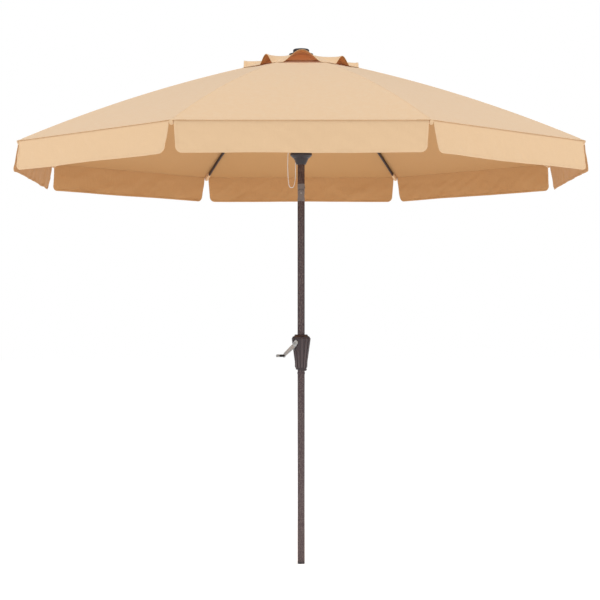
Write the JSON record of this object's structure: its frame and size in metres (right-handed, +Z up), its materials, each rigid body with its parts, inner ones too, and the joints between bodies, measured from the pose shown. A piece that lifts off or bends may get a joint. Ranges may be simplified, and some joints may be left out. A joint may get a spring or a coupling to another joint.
{
  "type": "patio umbrella",
  "caption": "Octagonal crank-lift patio umbrella with vent cap, valance flaps, push-button tilt and a plain pole foot.",
  "frame": {"origin": "centre of the pole's foot, at its lower end", "axes": "+Z up the pole; -Y is the front, where a flat canopy panel faces; the mast tilts towards +X"},
  "size_m": [2.8086, 2.8086, 2.72],
  "materials": {
    "canopy_fabric": "matte",
    "pole_bronze": "satin",
    "rib_bronze": "satin",
    "dark_plastic": "satin",
    "tilt_grey": "satin",
    "bright_steel": "satin",
    "crank_chrome": "polished",
    "grip_plastic": "satin",
    "cord_white": "matte",
    "nylon_white": "satin"
  },
  "bodies": {
    "root": {"foot_plug": "dark_plastic", "lower_pole": "pole_bronze", "pole_coupler": "pole_bronze", "middle_pole": "pole_bronze", "crank_housing_front": "dark_plastic", "crank_housing_rear": "dark_plastic", "pole_fasteners": "bright_steel", "brake_spring": "bright_steel", "tilt_lower_body": "tilt_grey", "tilt_pin": "bright_steel", "lift_cord_lower": "cord_white"},
    "mast": {"tilt_upper_body": "tilt_grey", "button_spring": "bright_steel", "upper_pole": "pole_bronze", "top_hub": "dark_plastic", "hub_wire": "bright_steel", "finial": "dark_plastic", "lift_cord_upper": "cord_white"},
    "crank": {"crank_shaft": "bright_steel", "cord_drum": "nylon_white", "crank_arm": "crank_chrome", "crank_fasteners": "bright_steel"},
    "grip": {"crank_grip": "grip_plastic"},
    "button": {"tilt_button": "dark_plastic"},
    "pulley_wheel": {"pulley": "nylon_white"},
    "runner_slider": {"runner": "dark_plastic", "runner_wire": "bright_steel", "cord_loop": "cord_white"},
    "rib_arm_1": {"rib_1": "rib_bronze", "canopy_gore_1": "canopy_fabric"},
    "stretcher_arm_1": {"stretcher_1": "rib_bronze"},
    "valance_hem_1": {"valance_1": "canopy_fabric"},
    "rib_arm_2": {"rib_2": "rib_bronze", "canopy_gore_2": "canopy_fabric"},
    "stretcher_arm_2": {"stretcher_2": "rib_bronze"},
    "valance_hem_2": {"valance_2": "canopy_fabric"},
    "rib_arm_3": {"rib_3": "rib_bronze", "canopy_gore_3": "canopy_fabric"},
    "stretcher_arm_3": {"stretcher_3": "rib_bronze"},
    "valance_hem_3": {"valance_3": "canopy_fabric"},
    "rib_arm_4": {"rib_4": "rib_bronze", "canopy_gore_4": "canopy_fabric"},
    "stretcher_arm_4": {"stretcher_4": "rib_bronze"},
    "valance_hem_4": {"valance_4": "canopy_fabric"},
    "rib_arm_5": {"rib_5": "rib_bronze", "canopy_gore_5": "canopy_fabric"},
    "stretcher_arm_5": {"stretcher_5": "rib_bronze"},
    "valance_hem_5": {"valance_5": "canopy_fabric"},
    "rib_arm_6": {"rib_6": "rib_bronze", "canopy_gore_6": "canopy_fabric"},
    "stretcher_arm_6": {"stretcher_6": "rib_bronze"},
    "valance_hem_6": {"valance_6": "canopy_fabric"},
    "rib_arm_7": {"rib_7": "rib_bronze", "canopy_gore_7": "canopy_fabric"},
    "stretcher_arm_7": {"stretcher_7": "rib_bronze"},
    "valance_hem_7": {"valance_7": "canopy_fabric"},
    "rib_arm_8": {"rib_8": "rib_bronze", "canopy_gore_8": "canopy_fabric"},
    "stretcher_arm_8": {"stretcher_8": "rib_bronze"},
    "valance_hem_8": {"valance_8": "canopy_fabric"}
  },
  "joints": [
    {"name": "mast_tilt", "type": "hinge", "parent": "root", "child": "mast", "pos_m": [0, 0, 1.958], "axis": [0, 1, 0], "range_deg": [0, 30]},
    {"name": "button_push", "type": "slide", "parent": "mast", "child": "button", "axis": [1, 0, 0], "range_m": [-0.004, 0], "stiffness_N_per_m": 500, "springref_m": 0.004, "deforming": ["button_spring"]},
    {"name": "rib_1_fold", "type": "hinge", "parent": "mast", "child": "rib_arm_1", "pos_m": [0.04065, 0.01684, 2.668], "axis": [0.3827, -0.9239, 0], "range_deg": [-66.5, 0], "deforming": ["canopy_gore_1"]},
    {"name": "stretcher_1_fold", "type": "hinge", "parent": "rib_arm_1", "child": "stretcher_arm_1", "pos_m": [0.631, 0.26137, 2.43543], "axis": [0.3827, -0.9239, 0], "range_deg": [0, 133]},
    {"name": "valance_1_hang", "type": "hinge", "parent": "rib_arm_1", "child": "valance_hem_1", "pos_m": [1.4043, 0.58168, 2.17], "axis": [0.3827, -0.9239, 0], "range_deg": [0, 66.5], "deforming": ["valance_1"]},
    {"name": "rib_2_fold", "type": "hinge", "parent": "mast", "child": "rib_arm_2", "pos_m": [0.01684, 0.04065, 2.668], "axis": [0.9239, -0.3827, 0], "range_deg": [-66.5, 0], "deforming": ["canopy_gore_2"]},
    {"name": "stretcher_2_fold", "type": "hinge", "parent": "rib_arm_2", "child": "stretcher_arm_2", "pos_m": [0.26137, 0.631, 2.43543], "axis": [0.9239, -0.3827, 0], "range_deg": [0, 133]},
    {"name": "valance_2_hang", "type": "hinge", "parent": "rib_arm_2", "child": "valance_hem_2", "pos_m": [0.58168, 1.4043, 2.17], "axis": [0.9239, -0.3827, 0], "range_deg": [0, 66.5], "deforming": ["valance_2"]},
    {"name": "rib_3_fold", "type": "hinge", "parent": "mast", "child": "rib_arm_3", "pos_m": [-0.01684, 0.04065, 2.668], "axis": [0.9239, 0.3827, 0], "range_deg": [-66.5, 0], "deforming": ["canopy_gore_3"]},
    {"name": "stretcher_3_fold", "type": "hinge", "parent": "rib_arm_3", "child": "stretcher_arm_3", "pos_m": [-0.26137, 0.631, 2.43543], "axis": [0.9239, 0.3827, 0], "range_deg": [0, 133]},
    {"name": "valance_3_hang", "type": "hinge", "parent": "rib_arm_3", "child": "valance_hem_3", "pos_m": [-0.58168, 1.4043, 2.17], "axis": [0.9239, 0.3827, 0], "range_deg": [0, 66.5], "deforming": ["valance_3"]},
    {"name": "rib_4_fold", "type": "hinge", "parent": "mast", "child": "rib_arm_4", "pos_m": [-0.04065, 0.01684, 2.668], "axis": [0.3827, 0.9239, 0], "range_deg": [-66.5, 0], "deforming": ["canopy_gore_4"]},
    {"name": "stretcher_4_fold", "type": "hinge", "parent": "rib_arm_4", "child": "stretcher_arm_4", "pos_m": [-0.631, 0.26137, 2.43543], "axis": [0.3827, 0.9239, 0], "range_deg": [0, 133]},
    {"name": "valance_4_hang", "type": "hinge", "parent": "rib_arm_4", "child": "valance_hem_4", "pos_m": [-1.4043, 0.58168, 2.17], "axis": [0.3827, 0.9239, 0], "range_deg": [0, 66.5], "deforming": ["valance_4"]},
    {"name": "rib_5_fold", "type": "hinge", "parent": "mast", "child": "rib_arm_5", "pos_m": [-0.04065, -0.01684, 2.668], "axis": [-0.3827, 0.9239, 0], "range_deg": [-66.5, 0], "deforming": ["canopy_gore_5"]},
    {"name": "stretcher_5_fold", "type": "hinge", "parent": "rib_arm_5", "child": "stretcher_arm_5", "pos_m": [-0.631, -0.26137, 2.43543], "axis": [-0.3827, 0.9239, 0], "range_deg": [0, 133]},
    {"name": "valance_5_hang", "type": "hinge", "parent": "rib_arm_5", "child": "valance_hem_5", "pos_m": [-1.4043, -0.58168, 2.17], "axis": [-0.3827, 0.9239, 0], "range_deg": [0, 66.5], "deforming": ["valance_5"]},
    {"name": "rib_6_fold", "type": "hinge", "parent": "mast", "child": "rib_arm_6", "pos_m": [-0.01684, -0.04065, 2.668], "axis": [-0.9239, 0.3827, 0], "range_deg": [-66.5, 0], "deforming": ["canopy_gore_6"]},
    {"name": "stretcher_6_fold", "type": "hinge", "parent": "rib_arm_6", "child": "stretcher_arm_6", "pos_m": [-0.26137, -0.631, 2.43543], "axis": [-0.9239, 0.3827, 0], "range_deg": [0, 133]},
    {"name": "valance_6_hang", "type": "hinge", "parent": "rib_arm_6", "child": "valance_hem_6", "pos_m": [-0.58168, -1.4043, 2.17], "axis": [-0.9239, 0.3827, 0], "range_deg": [0, 66.5], "deforming": ["valance_6"]},
    {"name": "rib_7_fold", "type": "hinge", "parent": "mast", "child": "rib_arm_7", "pos_m": [0.01684, -0.04065, 2.668], "axis": [-0.9239, -0.3827, 0], "range_deg": [-66.5, 0], "deforming": ["canopy_gore_7"]},
    {"name": "stretcher_7_fold", "type": "hinge", "parent": "rib_arm_7", "child": "stretcher_arm_7", "pos_m": [0.26137, -0.631, 2.43543], "axis": [-0.9239, -0.3827, 0], "range_deg": [0, 133]},
    {"name": "valance_7_hang", "type": "hinge", "parent": "rib_arm_7", "child": "valance_hem_7", "pos_m": [0.58168, -1.4043, 2.17], "axis": [-0.9239, -0.3827, 0], "range_deg": [0, 66.5], "deforming": ["valance_7"]},
    {"name": "rib_8_fold", "type": "hinge", "parent": "mast", "child": "rib_arm_8", "pos_m": [0.04065, -0.01684, 2.668], "axis": [-0.3827, -0.9239, 0], "range_deg": [-66.5, 0], "deforming": ["canopy_gore_8"]},
    {"name": "stretcher_8_fold", "type": "hinge", "parent": "rib_arm_8", "child": "stretcher_arm_8", "pos_m": [0.631, -0.26137, 2.43543], "axis": [-0.3827, -0.9239, 0], "range_deg": [0, 133]},
    {"name": "valance_8_hang", "type": "hinge", "parent": "rib_arm_8", "child": "valance_hem_8", "pos_m": [1.4043, -0.58168, 2.17], "axis": [-0.3827, -0.9239, 0], "range_deg": [0, 66.5], "deforming": ["valance_8"]},
    {"name": "runner_slide_link", "type": "hinge", "parent": "stretcher_arm_1", "child": "runner_slider", "pos_m": [0.04065, 0.01684, 2.20285], "axis": [0.3827, -0.9239, 0], "range_deg": [-66.5, 0], "deforming": ["cord_loop", "lift_cord_upper"]},
    {"name": "crank_turn", "type": "hinge", "parent": "root", "child": "crank", "pos_m": [0, 0, 1.163], "axis": [-0.7071, -0.7071, 0], "range_deg": [0, 4720.31], "deforming": ["lift_cord_lower"]},
    {"name": "pulley_turn", "type": "hinge", "parent": "mast", "child": "pulley_wheel", "pos_m": [-0.0195, 0, 2.632], "axis": [0, 1, 0], "range_deg": [0, 4869.14]},
    {"name": "grip_spin", "type": "hinge", "parent": "crank", "child": "grip", "pos_m": [-0.09435, -0.01879, 1.1], "axis": [-0.7071, -0.7071, 0], "continuous": true}
  ],
  "couplings": [
    {"joint": "stretcher_1_fold", "follows": "rib_1_fold", "ratio": -2},
    {"joint": "valance_1_hang", "follows": "rib_1_fold", "ratio": -1},
    {"joint": "rib_2_fold", "follows": "rib_1_fold", "ratio": 1},
    {"joint": "stretcher_2_fold", "follows": "rib_1_fold", "ratio": -2},
    {"joint": "valance_2_hang", "follows": "rib_1_fold", "ratio": -1},
    {"joint": "rib_3_fold", "follows": "rib_1_fold", "ratio": 1},
    {"joint": "stretcher_3_fold", "follows": "rib_1_fold", "ratio": -2},
    {"joint": "valance_3_hang", "follows": "rib_1_fold", "ratio": -1},
    {"joint": "rib_4_fold", "follows": "rib_1_fold", "ratio": 1},
    {"joint": "stretcher_4_fold", "follows": "rib_1_fold", "ratio": -2},
    {"joint": "valance_4_hang", "follows": "rib_1_fold", "ratio": -1},
    {"joint": "rib_5_fold", "follows": "rib_1_fold", "ratio": 1},
    {"joint": "stretcher_5_fold", "follows": "rib_1_fold", "ratio": -2},
    {"joint": "valance_5_hang", "follows": "rib_1_fold", "ratio": -1},
    {"joint": "rib_6_fold", "follows": "rib_1_fold", "ratio": 1},
    {"joint": "stretcher_6_fold", "follows": "rib_1_fold", "ratio": -2},
    {"joint": "valance_6_hang", "follows": "rib_1_fold", "ratio": -1},
    {"joint": "rib_7_fold", "follows": "rib_1_fold", "ratio": 1},
    {"joint": "stretcher_7_fold", "follows": "rib_1_fold", "ratio": -2},
    {"joint": "valance_7_hang", "follows": "rib_1_fold", "ratio": -1},
    {"joint": "rib_8_fold", "follows": "rib_1_fold", "ratio": 1},
    {"joint": "stretcher_8_fold", "follows": "rib_1_fold", "ratio": -2},
    {"joint": "valance_8_hang", "follows": "rib_1_fold", "ratio": -1},
    {"joint": "runner_slide_link", "follows": "rib_1_fold", "ratio": 1},
    {"joint": "crank_turn", "follows": "rib_1_fold", "ratio": -70.982},
    {"joint": "pulley_turn", "follows": "rib_1_fold", "ratio": -73.22}
  ]
}
